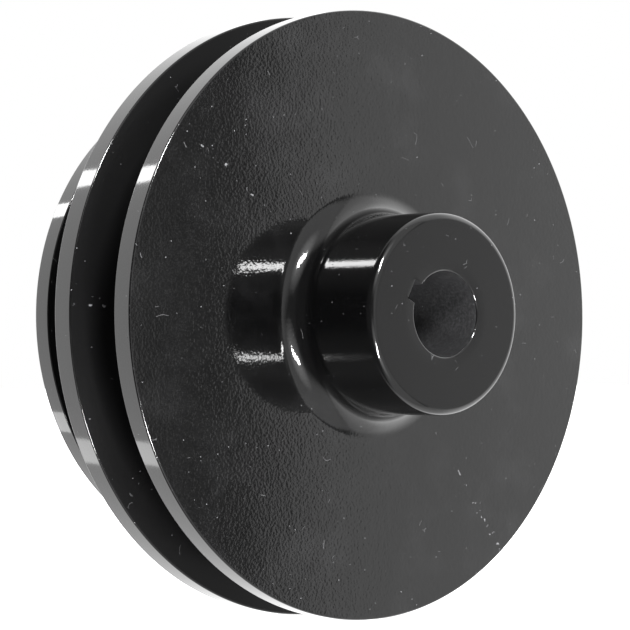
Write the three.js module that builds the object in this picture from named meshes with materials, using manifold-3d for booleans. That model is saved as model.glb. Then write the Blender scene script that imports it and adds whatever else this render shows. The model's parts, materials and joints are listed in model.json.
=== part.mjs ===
// Two-step V-belt pulley: one cast iron body with two belt grooves of different diameter, a plain
// projecting hub with a keyed bore, and two socket set screws that clamp the pulley on its shaft.
//
// Millimetres, +Z up. The bore axis is Y and the projecting hub points to -Y. The origin is the
// pulley's centre: on the bore axis, half way along the bore. Angles round the bore are counted
// from +X towards +Z.

import * as THREE from 'three';
import { mergeVertices } from 'three/addons/utils/BufferGeometryUtils.js';
import Module from 'manifold-3d';

const wasm = await Module();
wasm.setup();

// ---- driving dimensions ------------------------------------------------------------------------

// The two rims.
const LARGE_DIAMETER = 139.7;
const SMALL_DIAMETER = 112.3;
const FRONT_LAND = 5.1;
const MIDDLE_LAND = 5.3;
const REAR_LAND = 4.5;
const RIM_CHAMFER = 0.3;

// Both grooves have the classical B section.
const GROOVE_OPENING = 16.1;
const GROOVE_DEPTH = 14.0;
const GROOVE_ANGLE = 34;
const GROOVE_SPACING = 26.8;

// The projecting hub, and the hollow between hub and rim at the back.
const HUB_DIAMETER = 45.5;
const HUB_STAND = 25.1;
const HUB_ROUND = 1.7;
const HUB_FILLET = 5.8;
const STEP_FILLET = 2.0;
const RECESS_DEPTH = 5.0;
const RECESS_DIAMETER = 78.0;
const RECESS_FILLET = 2.0;
const RECESS_DRAFT = 0.6;

// The bore and its keyway.
const BORE_DIAMETER = 19.05;
const BORE_CHAMFER = 0.5;
const KEYWAY_ANGLE = 152;
const KEYWAY_WIDTH = 4.76;
const KEYWAY_FLOOR = 11.74;

// Socket set screws, one over the key and one a quarter turn from it, under the small groove.
const SCREW_DIAMETER = 6.35;
const SCREW_LENGTH = 12.7;
const SCREW_CHAMFER = 0.6;
const SCREW_HEX = 3.18;
const SCREW_HEX_DEPTH = 4.5;
const CUP_DIAMETER = 3.4;
const CUP_DEPTH = 0.8;
const POINT_HEIGHT = 1.1;
const TAPPED_GAP = 0.15;
const TAPPED_TOP = 27.0;
const ACCESS_DIAMETER = 7.2;
const KEY_TOP = 11.6;
const THREAD_PITCH = 1.27;
const QUARTER_TURN = 90;

// Facets: round the body, round a screw or its hole, and along one fillet.
const BODY_FACETS = 96;
const SCREW_FACETS = 32;
const FILLET_FACETS = 5;

// ---- worked out from the driving dimensions ----------------------------------------------------

const largeR = LARGE_DIAMETER / 2;
const smallR = SMALL_DIAMETER / 2;
const hubR = HUB_DIAMETER / 2;
const boreR = BORE_DIAMETER / 2;
const screwR = SCREW_DIAMETER / 2;
const halfOpening = GROOVE_OPENING / 2;
const halfFloor = halfOpening - GROOVE_DEPTH * Math.tan(THREE.MathUtils.degToRad(GROOVE_ANGLE / 2));
const smallFloorR = smallR - GROOVE_DEPTH;
const frontDepth = HUB_STAND + RIM_CHAMFER + FRONT_LAND + halfOpening;
const boreLength = frontDepth + GROOVE_SPACING + halfOpening + REAR_LAND + RIM_CHAMFER;
const hubFaceY = -boreLength / 2;
const rearY = boreLength / 2;
const discY = hubFaceY + HUB_STAND;
const largeGrooveY = hubFaceY + frontDepth;
const smallGrooveY = largeGrooveY + GROOVE_SPACING;
const shoulderY = largeGrooveY + halfOpening + MIDDLE_LAND + RIM_CHAMFER;

// ---- materials ---------------------------------------------------------------------------------

const blackPaint = () => new THREE.MeshStandardMaterial({ color: 0x17181a, roughness: 0.28 });
const blackOxide = () => new THREE.MeshStandardMaterial({
  color: 0x2b2a2c,
  roughness: 0.45,
  metalness: 0.9,
});

// ---- geometry helpers --------------------------------------------------------------------------

function toSolid(geometry) {
  const bare = geometry.clone();
  bare.deleteAttribute('normal');
  bare.deleteAttribute('uv');
  const merged = mergeVertices(bare, 1e-4);
  return new wasm.Manifold(new wasm.Mesh({
    numProp: 3,
    vertProperties: new Float32Array(merged.attributes.position.array),
    triVerts: new Uint32Array(merged.index.array),
  }));
}

function toGeometry(solid) {
  const mesh = solid.getMesh();
  const geometry = new THREE.BufferGeometry();
  geometry.setAttribute('position', new THREE.BufferAttribute(new Float32Array(mesh.vertProperties), 3));
  geometry.setIndex(new THREE.BufferAttribute(new Uint32Array(mesh.triVerts), 1));
  geometry.computeVertexNormals();
  return geometry;
}

const point = (radius, y) => new THREE.Vector2(radius, y);

// Points of a round about a centre in the radius-and-Y plane, from one angle to another in degrees.
function arc(centreRadius, centreY, radius, fromAngle, toAngle) {
  return Array.from({ length: FILLET_FACETS + 1 }, (_, i) => {
    const angle = THREE.MathUtils.degToRad(fromAngle + ((toAngle - fromAngle) * i) / FILLET_FACETS);
    return point(centreRadius + radius * Math.cos(angle), centreY + radius * Math.sin(angle));
  });
}

// Turns a cutter made along +Y so that it points out of the bore axis, under the small groove.
function turnOutward(geometry, angle) {
  geometry.rotateZ(-Math.PI / 2);
  geometry.rotateY(-THREE.MathUtils.degToRad(angle));
  geometry.translate(0, smallGrooveY, 0);
  return geometry;
}

// ---- pulley body -------------------------------------------------------------------------------

// One V groove: its two rim corners and the flat floor between the flanks.
function grooveOutline(rimRadius, middleY) {
  return [
    point(rimRadius, middleY - halfOpening),
    point(rimRadius - GROOVE_DEPTH, middleY - halfFloor),
    point(rimRadius - GROOVE_DEPTH, middleY + halfFloor),
    point(rimRadius, middleY + halfOpening),
  ];
}

// The hub's rounded front edge, its side, and the fillet that runs out on to the disc.
function hubOutline() {
  return [
    ...arc(hubR - HUB_ROUND, hubFaceY + HUB_ROUND, HUB_ROUND, -90, 0),
    ...arc(hubR + HUB_FILLET, discY - HUB_FILLET, HUB_FILLET, 180, 90),
  ];
}

// The shallow ring-shaped recess in the back, from the rim wall inwards to the rear boss.
function rearRecessOutline() {
  const floorY = rearY - RECESS_DEPTH;
  const outerR = RECESS_DIAMETER / 2;
  return [
    point(outerR + RECESS_DRAFT, rearY),
    ...arc(outerR - RECESS_FILLET, floorY + RECESS_FILLET, RECESS_FILLET, 0, -90),
    ...arc(hubR + RECESS_FILLET, floorY + RECESS_FILLET, RECESS_FILLET, -90, -180),
    point(hubR - RECESS_DRAFT, rearY),
  ];
}

function bodyOutline() {
  const outline = [
    point(boreR + BORE_CHAMFER, hubFaceY),
    ...hubOutline(),
    point(largeR - RIM_CHAMFER, discY),
    point(largeR, discY + RIM_CHAMFER),
    ...grooveOutline(largeR, largeGrooveY),
    point(largeR, shoulderY - RIM_CHAMFER),
    point(largeR - RIM_CHAMFER, shoulderY),
    ...arc(smallR + STEP_FILLET, shoulderY + STEP_FILLET, STEP_FILLET, -90, -180),
    ...grooveOutline(smallR, smallGrooveY),
    point(smallR, rearY - RIM_CHAMFER),
    point(smallR - RIM_CHAMFER, rearY),
    ...rearRecessOutline(),
    point(boreR + BORE_CHAMFER, rearY),
    point(boreR, rearY - BORE_CHAMFER),
    point(boreR, hubFaceY + BORE_CHAMFER),
  ];
  outline.push(outline[0].clone());
  return outline;
}

// The keyway runs the whole length of the bore and past both ends.
function keywayCut() {
  const geometry = new THREE.BoxGeometry(KEYWAY_FLOOR, boreLength + 2 * BORE_CHAMFER, KEYWAY_WIDTH);
  geometry.translate(KEYWAY_FLOOR / 2, 0, 0);
  geometry.rotateY(-THREE.MathUtils.degToRad(KEYWAY_ANGLE));
  return toSolid(geometry);
}

// A set screw hole: a tapped length from the bore outwards, then a wider way in for the hex key.
function screwHoleCut(angle) {
  const tappedR = screwR + TAPPED_GAP;
  const innerR = boreR / 2;
  const outerR = smallFloorR + GROOVE_DEPTH / 2;
  const outline = [
    point(0, innerR),
    point(tappedR, innerR),
    point(tappedR, TAPPED_TOP),
    point(ACCESS_DIAMETER / 2, TAPPED_TOP + ACCESS_DIAMETER / 2 - tappedR),
    point(ACCESS_DIAMETER / 2, outerR),
    point(0, outerR),
  ];
  const geometry = new THREE.LatheGeometry(outline, SCREW_FACETS);
  return toSolid(turnOutward(geometry, angle));
}

function pulleyBody(screwAngles) {
  let solid = toSolid(new THREE.LatheGeometry(bodyOutline(), BODY_FACETS));
  solid = solid.subtract(keywayCut());
  for (const angle of screwAngles) {
    solid = solid.subtract(screwHoleCut(angle));
  }
  const mesh = new THREE.Mesh(toGeometry(solid), blackPaint());
  mesh.name = 'pulley_body';
  return mesh;
}

// ---- set screws --------------------------------------------------------------------------------

// Made along +Y with the cup point at the bottom and the hex socket open at the top.
function screwSolid() {
  const outline = [
    point(0, CUP_DEPTH),
    point(CUP_DIAMETER / 2, 0),
    point(screwR, POINT_HEIGHT),
    point(screwR, SCREW_LENGTH - SCREW_CHAMFER),
    point(screwR - SCREW_CHAMFER, SCREW_LENGTH),
    point(0, SCREW_LENGTH),
  ];
  const hexCornerR = SCREW_HEX / Math.sqrt(3);
  const socket = new THREE.CylinderGeometry(hexCornerR, hexCornerR, 2 * SCREW_HEX_DEPTH, 6);
  socket.translate(0, SCREW_LENGTH, 0);
  return toSolid(new THREE.LatheGeometry(outline, SCREW_FACETS)).subtract(toSolid(socket));
}

// At rest a screw stands one turn back from what it clamps.
function setScrew(name, angle, clampRadius) {
  const mesh = new THREE.Mesh(toGeometry(screwSolid()), blackOxide());
  mesh.name = name;
  mesh.position.x = clampRadius + THREAD_PITCH;
  mesh.rotation.z = -Math.PI / 2;
  const seat = new THREE.Group();
  seat.position.y = smallGrooveY;
  seat.rotation.y = -THREE.MathUtils.degToRad(angle);
  seat.add(mesh);
  return seat;
}

// ---- assembly ----------------------------------------------------------------------------------

const keyScrewAngle = KEYWAY_ANGLE;
const shaftScrewAngle = KEYWAY_ANGLE - QUARTER_TURN;

const pulley = new THREE.Group();
pulley.add(pulleyBody([keyScrewAngle, shaftScrewAngle]));
pulley.add(setScrew('key_set_screw', keyScrewAngle, KEY_TOP));
pulley.add(setScrew('shaft_set_screw', shaftScrewAngle, boreR));

export default pulley;
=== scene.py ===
"""Looks of the two-step V-belt pulley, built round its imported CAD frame.

Metres, +Z up. The bore axis is Y and the projecting hub points to -Y. A pulley profile is a list of
(radius, y) stations, and a ring is the closed loop of points that one station makes round the bore.
"""
import json
import math

import bmesh
import bpy
from mathutils import Matrix, Vector


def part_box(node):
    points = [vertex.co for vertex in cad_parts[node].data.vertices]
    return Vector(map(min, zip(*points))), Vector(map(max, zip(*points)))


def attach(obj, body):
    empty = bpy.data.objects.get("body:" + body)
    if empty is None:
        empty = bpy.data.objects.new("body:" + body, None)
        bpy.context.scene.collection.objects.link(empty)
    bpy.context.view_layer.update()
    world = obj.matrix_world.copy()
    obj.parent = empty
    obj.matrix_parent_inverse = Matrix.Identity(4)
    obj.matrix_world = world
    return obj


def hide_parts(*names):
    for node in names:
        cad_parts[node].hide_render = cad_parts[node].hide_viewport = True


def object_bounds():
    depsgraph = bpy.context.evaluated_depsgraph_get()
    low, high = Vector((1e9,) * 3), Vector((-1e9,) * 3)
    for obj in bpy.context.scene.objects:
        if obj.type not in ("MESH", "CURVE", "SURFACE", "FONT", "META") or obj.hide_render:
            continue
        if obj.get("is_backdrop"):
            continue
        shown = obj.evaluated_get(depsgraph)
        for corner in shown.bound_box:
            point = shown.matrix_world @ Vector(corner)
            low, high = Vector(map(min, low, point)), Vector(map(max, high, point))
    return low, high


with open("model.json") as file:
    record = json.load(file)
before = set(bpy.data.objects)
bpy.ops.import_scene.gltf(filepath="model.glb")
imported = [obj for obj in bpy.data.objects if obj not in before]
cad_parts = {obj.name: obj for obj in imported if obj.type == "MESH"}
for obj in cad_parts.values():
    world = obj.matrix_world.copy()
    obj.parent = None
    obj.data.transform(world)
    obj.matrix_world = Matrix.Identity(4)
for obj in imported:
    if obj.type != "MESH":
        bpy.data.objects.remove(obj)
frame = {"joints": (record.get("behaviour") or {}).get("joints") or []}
cad_low, cad_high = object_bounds()

MM = 0.001

# ---- sizes -------------------------------------------------------------------------------------

# Taken from the frame.
LARGE_R = cad_high.x
HUB_FACE_Y = cad_low.y
REAR_Y = cad_high.y

# The design's other driving dimensions.
SMALL_R = 56.15 * MM
HUB_R = 22.75 * MM
HUB_STAND = 25.1 * MM
HUB_ROUND = 1.7 * MM
HUB_FILLET = 5.8 * MM
BORE_R = 9.525 * MM
BORE_ROUND = 0.55 * MM
KEYWAY_ROUND = 0.1 * MM
KEYWAY_ANGLE = math.radians(152)
KEYWAY_HALF_WIDTH = 2.38 * MM
KEYWAY_FLOOR = 11.74 * MM
RIM_CHAMFER = 0.3 * MM
RIM_ROUND = 0.4 * MM
FRONT_LAND = 5.1 * MM
MIDDLE_LAND = 5.3 * MM
HALF_OPENING = 8.05 * MM
GROOVE_DEPTH = 14.0 * MM
FLANK_TILT = math.radians(17)
GROOVE_SPACING = 26.8 * MM
FLOOR_ROUND = 0.8 * MM
STEP_FILLET = 2.0 * MM
RECESS_DEPTH = 5.0 * MM
RECESS_R = 39.0 * MM
RECESS_FILLET = 2.0 * MM
RECESS_DRAFT = 0.6 * MM
GROOVE_EDGE_ROUND = 0.3 * MM

# Set screws, and the holes that hold them.
THREAD_PITCH = 1.27 * MM
THREAD_DEPTH = 0.62 * MM
THREAD_END = 0.02 * MM
SCREW_R = 3.175 * MM
SCREW_LENGTH = 12.7 * MM
SCREW_CHAMFER = 0.6 * MM
SOCKET_FLAT_R = 1.59 * MM
SOCKET_DEPTH = 4.5 * MM
SOCKET_POINT = 0.9 * MM
CUP_R = 1.7 * MM
CUP_DEPTH = 0.8 * MM
CUP_EDGE = 0.12 * MM
POINT_STEP = 0.2 * MM
POINT_SLOPE = 1.2
HOLE_GAP = 0.12 * MM
TAPPED_TOP = 27.0 * MM
ACCESS_R = 3.6 * MM

# Points round a ring. The keyway's side, floor and other side take their own share of a body ring.
BODY_POINTS = 720
KEYWAY_SIDE_POINTS = (14, 32, 14)
KEYWAY_POINTS = sum(KEYWAY_SIDE_POINTS)
SCREW_POINTS = 96
ROWS_PER_TURN = 14

# Steps along one rounded stretch.
CORNER_STEPS = 4
MOUTH_STEPS = 6
HUB_ROUND_STEPS = 16
HUB_FILLET_STEPS = 24

DISC_Y = HUB_FACE_Y + HUB_STAND
LARGE_GROOVE_Y = DISC_Y + RIM_CHAMFER + FRONT_LAND + HALF_OPENING
SMALL_GROOVE_Y = LARGE_GROOVE_Y + GROOVE_SPACING
SHOULDER_Y = LARGE_GROOVE_Y + HALF_OPENING + MIDDLE_LAND + RIM_CHAMFER
SMALL_FLOOR_R = SMALL_R - GROOVE_DEPTH
# The first round ring on each end face lies just outside the keyway's corners.
END_FACE_R = KEYWAY_FLOOR + 1.0 * MM


# ---- mesh helpers ------------------------------------------------------------------------------

def arc(centre, radius, start, end, steps):
    """Stations of a round in the (radius, y) plane, angles in degrees."""
    angles = [math.radians(start + (end - start) * i / steps) for i in range(steps + 1)]
    return [(centre[0] + radius * math.cos(a), centre[1] + radius * math.sin(a)) for a in angles]


def rounded(corners):
    """Stations from (radius, y, round) corners. Each round is an arc tangent to both sides."""
    stations = []
    last = len(corners) - 1
    for i, (r, y, size) in enumerate(corners):
        corner = Vector((r, y))
        if size == 0 or i in (0, last):
            stations.append((r, y))
            continue
        to_previous = (Vector(corners[i - 1][:2]) - corner).normalized()
        to_next = (Vector(corners[i + 1][:2]) - corner).normalized()
        half = to_previous.angle(to_next) / 2
        reach = size / math.tan(half)
        centre = corner + (to_previous + to_next).normalized() * (size / math.sin(half))
        from_centre = corner + to_previous * reach - centre
        turn = from_centre.angle_signed(corner + to_next * reach - centre)
        for k in range(CORNER_STEPS + 1):
            spoke = from_centre.copy()
            spoke.rotate(Matrix.Rotation(-turn * k / CORNER_STEPS, 2))
            stations.append(tuple(centre + spoke))
    return stations


def round_ring(radius, y):
    """A ring that starts beside the keyway, so that it lines up with the keyed rings."""
    step = 2 * math.pi / BODY_POINTS
    start = KEYWAY_ANGLE - step * KEYWAY_POINTS / 2
    angles = [start + step * k for k in range(BODY_POINTS)]
    return [(radius * math.cos(a), y, radius * math.sin(a)) for a in angles]


def keyed_ring(bore_offset, key_offset, y):
    """The outline of bore and keyway together, each grown outwards by its own offset."""
    radius = BORE_R + bore_offset
    half_width = KEYWAY_HALF_WIDTH + key_offset
    floor = KEYWAY_FLOOR + key_offset
    mouth = math.sqrt(radius ** 2 - half_width ** 2)
    corners = [(mouth, -half_width), (floor, -half_width), (floor, half_width), (mouth, half_width)]
    outline = []
    for (a, b), (c, d), count in zip(corners, corners[1:], KEYWAY_SIDE_POINTS):
        outline += [(a + (c - a) * k / count, b + (d - b) * k / count) for k in range(count)]
    gap = math.asin(half_width / radius)
    arc_points = BODY_POINTS - KEYWAY_POINTS
    sweep = 2 * (math.pi - gap)
    for k in range(arc_points):
        angle = gap + sweep * k / arc_points
        outline.append((radius * math.cos(angle), radius * math.sin(angle)))
    cos_key = math.cos(KEYWAY_ANGLE)
    sin_key = math.sin(KEYWAY_ANGLE)
    return [(a * cos_key - b * sin_key, y, a * sin_key + b * cos_key) for a, b in outline]


def round_off(depth, size):
    """How far an edge rounded to a size has drawn back, at a depth below the end face."""
    if depth >= size:
        return 0.0
    return size - math.sqrt(size ** 2 - (size - depth) ** 2)


def bore_mouth(face_y, inward):
    """Keyed rings from an end face into the bore, down to where both rounded edges have ended."""
    turns = [math.pi / 2 * k / MOUTH_STEPS for k in range(MOUTH_STEPS + 1)]
    depths = sorted({size * (1 - math.cos(t)) for size in (BORE_ROUND, KEYWAY_ROUND) for t in turns})
    rings = []
    for depth in depths:
        bore_offset = round_off(depth, BORE_ROUND)
        key_offset = round_off(depth, KEYWAY_ROUND)
        rings.append(keyed_ring(bore_offset, key_offset, face_y + inward * depth))
    return rings


def loft(name, rings, closed=False, cap_centres=()):
    """Quads between rings of equal length, closed on themselves or ending in two centre points."""
    mesh = bpy.data.meshes.new(name)
    bm = bmesh.new()
    loops = [[bm.verts.new(p) for p in ring] for ring in rings]
    pairs = list(zip(loops, loops[1:]))
    if closed:
        pairs.append((loops[-1], loops[0]))
    count = len(loops[0])
    for low, high in pairs:
        for k in range(count):
            nxt = (k + 1) % count
            bm.faces.new((low[k], low[nxt], high[nxt], high[k]))
    for centre, loop in zip(cap_centres, (loops[0], loops[-1])):
        tip = bm.verts.new(centre)
        for k in range(count):
            bm.faces.new((tip, loop[k], loop[(k + 1) % count]))
    bmesh.ops.recalc_face_normals(bm, faces=bm.faces)
    bm.to_mesh(mesh)
    bm.free()
    piece = bpy.data.objects.new(name, mesh)
    bpy.context.scene.collection.objects.link(piece)
    return piece


def apply_modifiers(piece):
    """Makes the modified mesh the piece's own mesh."""
    depsgraph = bpy.context.evaluated_depsgraph_get()
    made = bpy.data.meshes.new_from_object(piece.evaluated_get(depsgraph))
    made.name = piece.name
    piece.modifiers.clear()
    piece.data = made


def cut(piece, cutter):
    """Cuts a closed cutter out of a piece and deletes the cutter."""
    boolean = piece.modifiers.new("cut", "BOOLEAN")
    boolean.operation = "DIFFERENCE"
    boolean.solver = "MANIFOLD"
    boolean.object = cutter
    apply_modifiers(piece)
    bpy.data.objects.remove(cutter)


def shade(piece, sharp_angle):
    """Smooth shading that keeps true edges sharp and large faces flat."""
    piece.data.shade_smooth()
    piece.data.set_sharp_from_angle(angle=math.radians(sharp_angle))
    weighted = piece.modifiers.new("weighted", "WEIGHTED_NORMAL")
    weighted.keep_sharp = True
    weighted.weight = 100
    apply_modifiers(piece)


# ---- pulley body -------------------------------------------------------------------------------

def groove(rim_r, middle_y):
    """Corners of one V groove, from its front rim corner to its rear one."""
    half_floor = HALF_OPENING - GROOVE_DEPTH * math.tan(FLANK_TILT)
    return [
        (rim_r, middle_y - HALF_OPENING, GROOVE_EDGE_ROUND),
        (rim_r - GROOVE_DEPTH, middle_y - half_floor, FLOOR_ROUND),
        (rim_r - GROOVE_DEPTH, middle_y + half_floor, FLOOR_ROUND),
        (rim_r, middle_y + HALF_OPENING, GROOVE_EDGE_ROUND),
    ]


def body_stations():
    """The turned outline from the hub face, over both steps, to the rear boss."""
    round_centre = (HUB_R - HUB_ROUND, HUB_FACE_Y + HUB_ROUND)
    face_round = arc(round_centre, HUB_ROUND, -90, 0, HUB_ROUND_STEPS)
    fillet_centre = (HUB_R + HUB_FILLET, DISC_Y - HUB_FILLET)
    fillet = arc(fillet_centre, HUB_FILLET, 180, 90, HUB_FILLET_STEPS)
    recess_floor = REAR_Y - RECESS_DEPTH
    steps = rounded([
        (*fillet[-1], 0),
        (LARGE_R, DISC_Y, RIM_ROUND),
        *groove(LARGE_R, LARGE_GROOVE_Y),
        (LARGE_R, SHOULDER_Y, RIM_ROUND),
        (SMALL_R, SHOULDER_Y, STEP_FILLET),
        *groove(SMALL_R, SMALL_GROOVE_Y),
        (SMALL_R, REAR_Y, RIM_ROUND),
        (RECESS_R + RECESS_DRAFT, REAR_Y, RIM_ROUND),
        (RECESS_R, recess_floor, RECESS_FILLET),
        (HUB_R, recess_floor, RECESS_FILLET),
        (HUB_R - RECESS_DRAFT, REAR_Y, RIM_ROUND),
        (END_FACE_R, REAR_Y, 0),
    ])
    return [(END_FACE_R, HUB_FACE_Y)] + face_round + fillet[:-1] + steps


def body_rings():
    """All rings of the body, closing on themselves through the bore."""
    front = bore_mouth(HUB_FACE_Y, 1)
    rear = bore_mouth(REAR_Y, -1)
    turned = [round_ring(r, y) for r, y in body_stations()]
    return front[::-1] + turned + rear


def thread_ring(height, crest_r, root_r, limit_r):
    """One row of points of a thread along +Z, kept inside a limiting radius. The crest takes a fifth
    of a pitch and the root two fifths, with straight flanks between them."""
    ring = []
    for k in range(SCREW_POINTS):
        angle = 2 * math.pi * k / SCREW_POINTS
        turn = (height / THREAD_PITCH - angle / (2 * math.pi)) % 1.0
        ridge = min(1.0, max(0.0, 1.5 - 2.5 * abs(2 * turn - 1)))
        radius = min(limit_r, root_r + (crest_r - root_r) * ridge)
        ring.append((radius * math.cos(angle), radius * math.sin(angle), height))
    return ring


def plain_ring(radius, height):
    """A circle of screw points at a height along +Z."""
    step = 2 * math.pi / SCREW_POINTS
    angles = [step * k for k in range(SCREW_POINTS)]
    return [(radius * math.cos(a), radius * math.sin(a), height) for a in angles]


def outward(angle):
    """Turns a piece made along +Z to point out of the bore axis, under the small groove's middle."""
    spin = Matrix.Rotation(-angle, 4, "Y") @ Matrix.Rotation(math.pi / 2, 4, "Y")
    return Matrix.Translation((0, SMALL_GROOVE_Y, 0)) @ spin


def hole_cutter(angle):
    """The solid that a tapped hole with its wider way in leaves out of the body."""
    bottom = BORE_R / 2
    crest = SCREW_R + HOLE_GAP
    root = crest - THREAD_DEPTH
    rows = int((TAPPED_TOP - bottom) / THREAD_PITCH * ROWS_PER_TURN)
    heights = [bottom + (TAPPED_TOP - bottom) * k / rows for k in range(rows + 1)]
    rings = [thread_ring(h, crest, root, crest) for h in heights]
    rings.append(plain_ring(crest, TAPPED_TOP + THREAD_END))
    rings.append(plain_ring(ACCESS_R, TAPPED_TOP + ACCESS_R - crest))
    rings.append(plain_ring(ACCESS_R, SMALL_FLOOR_R + HALF_OPENING))
    ends = [(0, 0, bottom), (0, 0, SMALL_FLOOR_R + HALF_OPENING)]
    cutter = loft("cutter", rings, cap_centres=ends)
    cutter.data.transform(outward(angle))
    return cutter


def build_body(screw_angles):
    """The turned and keyed casting with its two screw holes."""
    body = loft("pulley_body_casting", body_rings(), closed=True)
    for angle in screw_angles:
        cut(body, hole_cutter(angle))
    shade(body, 30)
    return body


# ---- set screws --------------------------------------------------------------------------------

def hex_ring(height):
    """The hex socket's outline, with its six corners on ring points."""
    ring = []
    for k in range(SCREW_POINTS):
        angle = 2 * math.pi * k / SCREW_POINTS
        off_flat = (angle % (math.pi / 3)) - math.pi / 6
        radius = SOCKET_FLAT_R / math.cos(off_flat)
        ring.append((radius * math.cos(angle), radius * math.sin(angle), height))
    return ring


def build_screw(name, joint_axis, tip_r):
    """A cup-point socket set screw. Its thread is in step with the thread in the hole."""
    angle = math.atan2(joint_axis[2], joint_axis[0])
    rows = int(SCREW_LENGTH / THREAD_PITCH * ROWS_PER_TURN)
    rings = [
        plain_ring(CUP_R * 0.5, CUP_DEPTH * 0.55),
        plain_ring(CUP_R, 0),
        plain_ring(CUP_R + CUP_EDGE, 0),
    ]
    for k in range(rows + 1):
        height = SCREW_LENGTH * k / rows
        point_limit = CUP_R + POINT_STEP + height * POINT_SLOPE
        head_limit = SCREW_R - SCREW_CHAMFER + (SCREW_LENGTH - height)
        limit = min(point_limit, SCREW_R, head_limit)
        rings.append([
            (x, y, height)
            for x, y, _ in thread_ring(height + tip_r, SCREW_R, SCREW_R - THREAD_DEPTH, limit)
        ])
    floor = SCREW_LENGTH - SOCKET_DEPTH
    rings += [hex_ring(SCREW_LENGTH), hex_ring(floor)]
    ends = [(0, 0, CUP_DEPTH), (0, 0, floor - SOCKET_POINT)]
    screw = loft(name, rings, cap_centres=ends)
    screw.data.transform(outward(angle) @ Matrix.Translation((0, 0, tip_r)))
    shade(screw, 35)
    return screw


# ---- node helpers ------------------------------------------------------------------------------

class Nodes:
    """A short way to write node trees: inputs are numbers, colours or other nodes' sockets."""

    def __init__(self, tree):
        self.tree = tree
        tree.nodes.clear()

    def add(self, kind, settings=None, **inputs):
        node = self.tree.nodes.new(kind)
        for key, value in (settings or {}).items():
            setattr(node, key, value)
        for key, value in inputs.items():
            name = key.replace("_", " ")
            socket = next(s for s in node.inputs if s.name == name and s.enabled)
            self.put(socket, value)
        return node

    def put(self, socket, value):
        if isinstance(value, bpy.types.NodeSocket):
            self.tree.links.new(value, socket)
        else:
            socket.default_value = value

    def math(self, operation, *values):
        node = self.tree.nodes.new("ShaderNodeMath")
        node.operation = operation
        for socket, value in zip(node.inputs, values):
            self.put(socket, value)
        return node.outputs[0]

    def product(self, first, *others):
        for other in others:
            first = self.math("MULTIPLY", first, other)
        return first

    def dot(self, place, axis):
        node = self.add("ShaderNodeVectorMath", {"operation": "DOT_PRODUCT"})
        self.put(node.inputs[0], place)
        self.put(node.inputs[1], axis)
        return node.outputs["Value"]

    def ramp(self, value, low, high, low_value=0.0, high_value=1.0):
        """A smooth step from one value to another."""
        node = self.add(
            "ShaderNodeMapRange", {"interpolation_type": "SMOOTHSTEP"},
            Value=value, From_Min=low, From_Max=high, To_Min=low_value, To_Max=high_value,
        )
        return node.outputs["Result"]

    def noise(self, place, scale, detail=2.0, roughness=0.5, distortion=0.0):
        node = self.add(
            "ShaderNodeTexNoise", Vector=place, Scale=scale, Detail=detail,
            Roughness=roughness, Distortion=distortion,
        )
        return node.outputs[0]

    def mix_colour(self, factor, first, second):
        node = self.tree.nodes.new("ShaderNodeMix")
        node.data_type = "RGBA"
        for name, value in (("Factor", factor), ("A", first), ("B", second)):
            socket = next(s for s in node.inputs if s.name == name and s.enabled)
            self.put(socket, value)
        return next(s for s in node.outputs if s.enabled)


def grey(value):
    """A grey with a very faint cool cast."""
    return (value, value, value * 1.04, 1.0)


# ---- materials ---------------------------------------------------------------------------------

# The largest dust speck, as a share of a cell of its pattern.
SPECK_SIZE = 0.065


def groove_mask(nodes, radius, y, rim_r, middle_y):
    """One inside a groove, nought outside it."""
    across = nodes.math("ABSOLUTE", nodes.math("SUBTRACT", y, middle_y))
    floor_r = rim_r - GROOVE_DEPTH
    return nodes.product(
        nodes.ramp(across, HALF_OPENING, HALF_OPENING + 0.2 * MM, 1.0, 0.0),
        nodes.ramp(radius, rim_r - 0.5 * MM, rim_r - 0.1 * MM, 1.0, 0.0),
        nodes.ramp(radius, floor_r - 1.0 * MM, floor_r - 0.2 * MM),
    )


def paint_places(nodes, place):
    """Masks that say where the surface is, with its radius and y, each as a socket."""
    x, y, z = nodes.add("ShaderNodeSeparateXYZ", Vector=place).outputs
    radius = nodes.math("SQRT", nodes.math("ADD", nodes.product(x, x), nodes.product(z, z)))
    normal = nodes.add("ShaderNodeNewGeometry").outputs["True Normal"]
    normal_y = nodes.math("ABSOLUTE", nodes.add("ShaderNodeSeparateXYZ", Vector=normal).outputs[1])
    facing = nodes.ramp(normal_y, 0.3, 0.9)
    outside_hub = nodes.ramp(radius, HUB_R, HUB_R + 1.5 * MM)
    flat = nodes.ramp(normal_y, 0.985, 0.998)
    near_bore = nodes.ramp(radius, KEYWAY_FLOOR + 0.4 * MM, KEYWAY_FLOOR)
    in_groove = nodes.math(
        "ADD",
        groove_mask(nodes, radius, y, LARGE_R, LARGE_GROOVE_Y),
        groove_mask(nodes, radius, y, SMALL_R, SMALL_GROOVE_Y),
    )
    return {
        "radius": radius,
        "y": y,
        "cast": nodes.product(facing, outside_hub),
        "hub_end": nodes.product(flat, nodes.math("SUBTRACT", 1.0, outside_hub)),
        "bore": nodes.product(near_bore, nodes.ramp(normal_y, 0.5, 0.3)),
        "groove": in_groove,
    }


def dust_specks(nodes, place):
    """Round specks of several sizes in some cells of a cell pattern."""
    cells = nodes.add("ShaderNodeTexVoronoi", Vector=place, Scale=620.0, Randomness=1.0)
    chance = nodes.add("ShaderNodeSeparateColor", Color=cells.outputs["Color"]).outputs[0]
    size = nodes.product(nodes.ramp(chance, 0.3, 1.0), SPECK_SIZE)
    return nodes.math("LESS_THAN", cells.outputs["Distance"], size)


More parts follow.
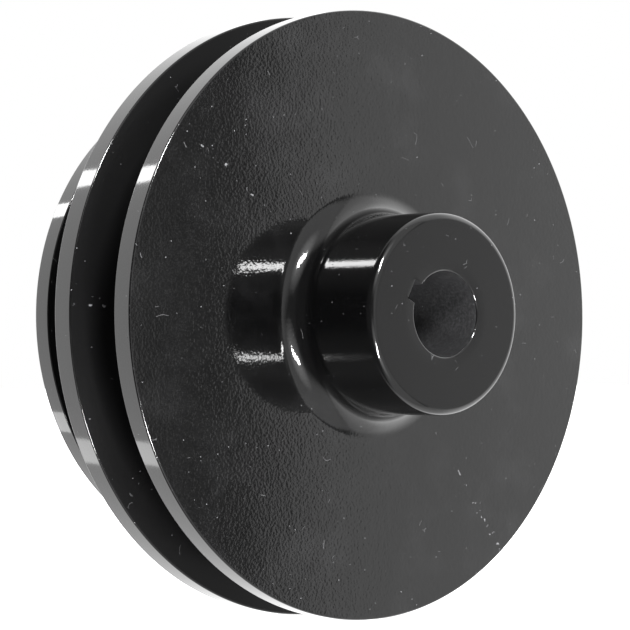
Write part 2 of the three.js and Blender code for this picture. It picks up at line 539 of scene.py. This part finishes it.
def lint_hairs(nodes, place):
    """Short bent hairs: pieces of the edges of a distorted cell pattern."""
    bend = nodes.add("ShaderNodeTexNoise", Vector=place, Scale=180.0, Detail=1.0)
    shrink = nodes.add("ShaderNodeVectorMath", {"operation": "SCALE"}, Scale=0.006)
    nodes.put(shrink.inputs[0], bend.outputs["Color"])
    bent = nodes.add("ShaderNodeVectorMath", {"operation": "ADD"})
    nodes.put(bent.inputs[0], place)
    nodes.put(bent.inputs[1], shrink.outputs[0])
    edges = nodes.add(
        "ShaderNodeTexVoronoi", {"feature": "DISTANCE_TO_EDGE"}, Vector=bent.outputs[0], Scale=130.0,
    )
    line = nodes.math("LESS_THAN", edges.outputs["Distance"], 0.007)
    return nodes.product(line, nodes.math("GREATER_THAN", nodes.noise(place, 190.0, 1.0), 0.7))


def edge_chips(nodes, place, radius):
    """Small worn patches along the outer edges."""
    geometry = nodes.add("ShaderNodeNewGeometry")
    sharp = nodes.ramp(geometry.outputs["Pointiness"], 0.52, 0.58)
    outer = nodes.ramp(radius, HUB_R - 0.5 * MM, HUB_R)
    patches = nodes.ramp(nodes.noise(place, 800.0, 2.0), 0.62, 0.7)
    return nodes.product(sharp, outer, patches)


def paint_colour(nodes, place, places, chips, dust, lint):
    """Nearly black, with a cloudy haze on the cast skin, overspray in the bore, and pale dust."""
    haze = nodes.ramp(nodes.noise(place, 60.0, 4.0, 0.6), 0.45, 0.8)
    cast_colour = nodes.mix_colour(haze, grey(0.0009), grey(0.004))
    colour = nodes.mix_colour(places["cast"], grey(0.0011), cast_colour)
    speckle = nodes.ramp(nodes.noise(place, 1500.0, 3.0, 0.7), 0.35, 0.75)
    bore_colour = nodes.mix_colour(speckle, grey(0.013), grey(0.031))
    colour = nodes.mix_colour(places["bore"], colour, bore_colour)
    colour = nodes.mix_colour(places["groove"], colour, grey(0.0018))
    colour = nodes.mix_colour(chips, colour, grey(0.1))
    colour = nodes.mix_colour(lint, colour, grey(0.03))
    return nodes.mix_colour(dust, colour, grey(0.18))


def paint_roughness(nodes, place, places, matt):
    """Glossy with faint smears, duller on the hub's end, in the grooves and bore, and where matt."""
    smear = nodes.noise(place, 35.0, 4.0, 0.6, 0.4)
    rough = nodes.ramp(smear, 0.3, 0.75, 0.055, 0.08)
    for name, extra in (("hub_end", 0.13), ("bore", 0.38), ("groove", 0.22)):
        rough = nodes.math("ADD", rough, nodes.product(places[name], extra))
    return nodes.math("MAXIMUM", rough, nodes.product(matt, 0.7))


def paint_gloss(nodes, places):
    """The strength of the mirror image, weaker where the paint is dull."""
    gloss = 0.5
    for name, loss in (("hub_end", 0.23), ("bore", 0.25), ("groove", 0.4)):
        gloss = nodes.math("SUBTRACT", gloss, nodes.product(places[name], loss))
    return gloss


def paint_relief(nodes, place, places, dirt):
    """Orange peel, a slower wave, turning marks on the hub's end and in the bore, grain and dirt."""
    cast = places["cast"]
    along_radius = nodes.add("ShaderNodeCombineXYZ", X=places["radius"]).outputs[0]
    along_bore = nodes.add("ShaderNodeCombineXYZ", X=places["y"]).outputs[0]
    peel = nodes.noise(place, 1550.0, 1.5, 0.5)
    height = nodes.product(peel, nodes.ramp(cast, 0.0, 1.0, 3.0e-6, 15.0e-6))
    wave = nodes.noise(place, 260.0, 1.0)
    wave = nodes.product(wave, nodes.ramp(cast, 0.0, 1.0, 3.0e-6, 8.0e-6))
    marks = nodes.product(nodes.noise(along_radius, 2200.0, 3.0, 0.7), places["hub_end"], 1.3e-5)
    rings = nodes.product(nodes.noise(along_bore, 900.0, 3.0, 0.7), places["bore"], 1.5e-5)
    grain = nodes.product(nodes.noise(place, 2600.0, 3.0), places["bore"], 2.0e-5)
    for extra in (wave, marks, rings, grain, nodes.product(dirt, 1.0e-5)):
        height = nodes.math("ADD", height, extra)
    return height


def black_paint():
    """Gloss black paint over cast iron: orange peel on the disc, finer on turned faces, satin on the
    hub's end and in the grooves, overspray in the bore, and dust."""
    material = bpy.data.materials.new("gloss_black_paint")
    material.use_nodes = True
    nodes = Nodes(material.node_tree)
    place = nodes.add("ShaderNodeTexCoord").outputs["Object"]
    places = paint_places(nodes, place)
    dust = dust_specks(nodes, place)
    lint = lint_hairs(nodes, place)
    dirt = nodes.math("MAXIMUM", dust, lint)
    chips = edge_chips(nodes, place, places["radius"])
    matt = nodes.math("MAXIMUM", dirt, chips)
    height = paint_relief(nodes, place, places, dirt)
    bump = nodes.add("ShaderNodeBump", Strength=1.0, Distance=1.0, Height=height)
    surface = nodes.add(
        "ShaderNodeBsdfPrincipled",
        Base_Color=paint_colour(nodes, place, places, chips, dust, lint),
        Roughness=paint_roughness(nodes, place, places, matt),
        Specular_IOR_Level=paint_gloss(nodes, places),
        IOR=1.5,
        Normal=bump.outputs[0],
    )
    output = nodes.add("ShaderNodeOutputMaterial")
    nodes.put(output.inputs["Surface"], surface.outputs[0])
    return material


def black_oxide():
    """Blackened steel of the set screws: dark, oily and a little uneven."""
    material = bpy.data.materials.new("black_oxide_steel")
    material.use_nodes = True
    nodes = Nodes(material.node_tree)
    place = nodes.add("ShaderNodeTexCoord").outputs["Object"]
    blotch = nodes.noise(place, 900.0, 4.0, 0.6)
    oiled = (0.045, 0.043, 0.045, 1)
    rubbed = (0.1, 0.088, 0.078, 1)
    colour = nodes.mix_colour(nodes.ramp(blotch, 0.35, 0.7), oiled, rubbed)
    rough = nodes.ramp(nodes.noise(place, 2200.0, 3.0), 0.3, 0.7, 0.3, 0.5)
    height = nodes.math("MULTIPLY", nodes.noise(place, 4000.0, 3.0), 4.0e-6)
    bump = nodes.add("ShaderNodeBump", Strength=1.0, Distance=1.0, Height=height)
    surface = nodes.add(
        "ShaderNodeBsdfPrincipled", Base_Color=colour, Roughness=rough, Metallic=0.85,
        Normal=bump.outputs[0],
    )
    output = nodes.add("ShaderNodeOutputMaterial")
    nodes.put(output.inputs["Surface"], surface.outputs[0])
    return material


def pale_floor():
    """A pale floor lit from below as well, so that it stays plain round the pulley."""
    material = bpy.data.materials.new("pale_floor")
    material.use_nodes = True
    nodes = Nodes(material.node_tree)
    surface = nodes.add(
        "ShaderNodeBsdfPrincipled", Base_Color=(0.88, 0.88, 0.88, 1), Roughness=0.9,
        Emission_Color=(1, 1, 1, 1), Emission_Strength=1.0,
    )
    output = nodes.add("ShaderNodeOutputMaterial")
    nodes.put(output.inputs["Surface"], surface.outputs[0])
    return material


def finish_piece(piece, material, body, node):
    """Gives a piece its material, its body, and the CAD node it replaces."""
    piece.data.materials.clear()
    piece.data.materials.append(material)
    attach(piece, body)
    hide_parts(node)


# ---- the object --------------------------------------------------------------------------------

screw_axes = {joint["child"]: joint["axis"] for joint in frame["joints"]}
paint = black_paint()
oxide = black_oxide()

casting = build_body([math.atan2(axis[2], axis[0]) for axis in screw_axes.values()])
finish_piece(casting, paint, "pulley", "pulley_body")

for body, node in (("key_screw", "key_set_screw"), ("shaft_screw", "shaft_set_screw")):
    axis = Vector(screw_axes[body])
    low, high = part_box(node)
    middle = (low + high) / 2
    tip_r = Vector((middle.x, 0, middle.z)).dot(axis) - SCREW_LENGTH / 2
    screw = build_screw(node + "_threaded", axis, tip_r)
    finish_piece(screw, oxide, body, node)


# ---- floor, light and camera -------------------------------------------------------------------

CAMERA_AZIMUTH = math.radians(-41.09)
CAMERA_ELEVATION = math.radians(-0.71)
CAMERA_DISTANCE = 727.3 * MM
CAMERA_SIDE = 12.4 * MM
CAMERA_AIM_DEPTH = 0.55 * MM
CAMERA_LENS = 181.1
FLOOR_HALF = 4.0
FRONT_HIGH = (-0.345, -0.735, 0.58)
FRONT_LOW = (-0.338, -0.85, -0.403)
REAR_HIGH = (-0.40, 0.755, 0.52)
REAR_LOW = (-0.41, 0.755, -0.51)
LAMP_DISTANCE = 0.8
# Each lamp's name, direction from the hub, width, length and radiance.
LAMPS = (
    ("front_high", FRONT_HIGH, 0.07, 0.25, 240),
    ("front_low", FRONT_LOW, 0.055, 0.25, 210),
    ("rear_high", REAR_HIGH, 0.06, 0.35, 12),
    ("rear_low", REAR_LOW, 0.09, 0.35, 3.5),
)

back = Vector((
    math.sin(CAMERA_AZIMUTH) * math.cos(CAMERA_ELEVATION),
    -math.cos(CAMERA_AZIMUTH) * math.cos(CAMERA_ELEVATION),
    math.sin(CAMERA_ELEVATION),
))
right = Vector((math.cos(CAMERA_AZIMUTH), math.sin(CAMERA_AZIMUTH), 0))


def add_camera():
    """A long lens that looks at the disc from the front left, a little from below."""
    data = bpy.data.cameras.new("camera")
    data.sensor_width = 36.0
    data.lens = CAMERA_LENS
    data.clip_start = 0.01
    camera = bpy.data.objects.new("camera", data)
    bpy.context.scene.collection.objects.link(camera)
    aim = Vector((0, DISC_Y + CAMERA_AIM_DEPTH, 0)) - right * CAMERA_SIDE
    camera.location = aim + back * CAMERA_DISTANCE
    camera.rotation_mode = "QUATERNION"
    camera.rotation_quaternion = (-back).to_track_quat("-Z", "Y")
    bpy.context.scene.camera = camera


def add_floor():
    """The pulley stands on its large rims. The floor casts no shadow, so that the low lamps shine
    through it, and glossy paint doesn't mirror it."""
    mesh = bpy.data.meshes.new("floor")
    signs = [(-1, -1), (1, -1), (1, 1), (-1, 1)]
    corners = [(FLOOR_HALF * a, FLOOR_HALF * b, cad_low.z) for a, b in signs]
    mesh.from_pydata(corners, [], [(0, 1, 2, 3)])
    floor = bpy.data.objects.new("floor", mesh)
    bpy.context.scene.collection.objects.link(floor)
    mesh.materials.append(pale_floor())
    floor.visible_glossy = False
    floor.visible_shadow = False
    floor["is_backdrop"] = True


def backdrop_glow(nodes, ahead, steep):
    """A bright backdrop with a dimmer border, which falls off above and below its middle."""
    border = nodes.ramp(ahead, -0.160, -0.140, 0.0, 1.2)
    middle = nodes.ramp(ahead, -0.14, 0.1, 0.0, 0.9)
    off_centre = nodes.math("SUBTRACT", steep, ahead)
    fall = nodes.ramp(off_centre, 0.2, 0.6, 1.0, 0.42)
    return nodes.product(nodes.math("ADD", border, middle), fall)


def wall_glow(nodes, ahead, sideways, steep):
    """A wall that grows brighter towards the camera's right, with a dark gap before the backdrop."""
    wall_place = nodes.math("ADD", sideways, nodes.math("MULTIPLY", steep, 0.8))
    wall = nodes.ramp(wall_place, 0.4, 0.85, 0.2, 1.1)
    wall = nodes.math("MULTIPLY", wall, nodes.ramp(sideways, -0.3, -0.1, 0.5, 1.0))
    gap = nodes.product(
        nodes.ramp(ahead, -0.235, -0.175),
        nodes.ramp(steep, 0.2, 0.5, 0.83, 0.1),
    )
    return nodes.product(wall, nodes.math("SUBTRACT", 1.0, gap))


def add_world():
    """The studio, as the object sees it: a bright backdrop ahead of the camera, a dimmer wall on the
    camera's right with a narrow dark gap before the backdrop, and a dim room behind."""
    world = bpy.data.worlds.new("studio")
    world.use_nodes = True
    bpy.context.scene.world = world
    nodes = Nodes(world.node_tree)
    direction = nodes.add("ShaderNodeTexCoord").outputs["Generated"]
    ahead = nodes.dot(direction, -back)
    sideways = nodes.dot(direction, right)
    steep = nodes.math("ABSOLUTE", nodes.dot(direction, Vector((0, 0, 1))))
    backdrop = backdrop_glow(nodes, ahead, steep)
    wall = wall_glow(nodes, ahead, sideways, steep)
    glow = nodes.math("ADD", backdrop, wall)
    for lamp in (FRONT_HIGH, FRONT_LOW):
        near_lamp = nodes.dot(direction, Vector(lamp).normalized())
        glow = nodes.math("ADD", glow, nodes.ramp(near_lamp, 0.9, 1.0, 0.0, 1.6))
    seen = nodes.add("ShaderNodeLightPath").outputs["Is Camera Ray"]
    strength = nodes.add("ShaderNodeMix", {"data_type": "FLOAT"})
    nodes.put(strength.inputs[0], seen)
    nodes.put(strength.inputs[2], glow)
    nodes.put(strength.inputs[3], 1.0)
    background = nodes.add("ShaderNodeBackground", Color=(1, 1, 1, 1), Strength=strength.outputs[0])
    output = nodes.add("ShaderNodeOutputWorld")
    nodes.put(output.inputs["Surface"], background.outputs[0])


def add_lamp(name, direction, width, length, radiance):
    """A strip light in a direction from the hub. Its long side lies in the plane that holds both that
    direction and the bore axis."""
    data = bpy.data.lights.new(name, "AREA")
    data.shape = "RECTANGLE"
    data.size = width
    data.size_y = length
    data.energy = radiance * math.pi * width * length
    lamp = bpy.data.objects.new(name, data)
    bpy.context.scene.collection.objects.link(lamp)
    away = Vector(direction).normalized()
    across = away.cross(Vector((0, 1, 0))).normalized()
    along = away.cross(across)
    lamp.location = away * LAMP_DISTANCE
    lamp.rotation_mode = "QUATERNION"
    lamp.rotation_quaternion = Matrix((across, along, away)).transposed().to_quaternion()
    lamp.visible_camera = False


add_camera()
add_floor()
add_world()
for lamp in LAMPS:
    add_lamp(*lamp)

bpy.context.scene.view_settings.view_transform = "Standard"

low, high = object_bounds()
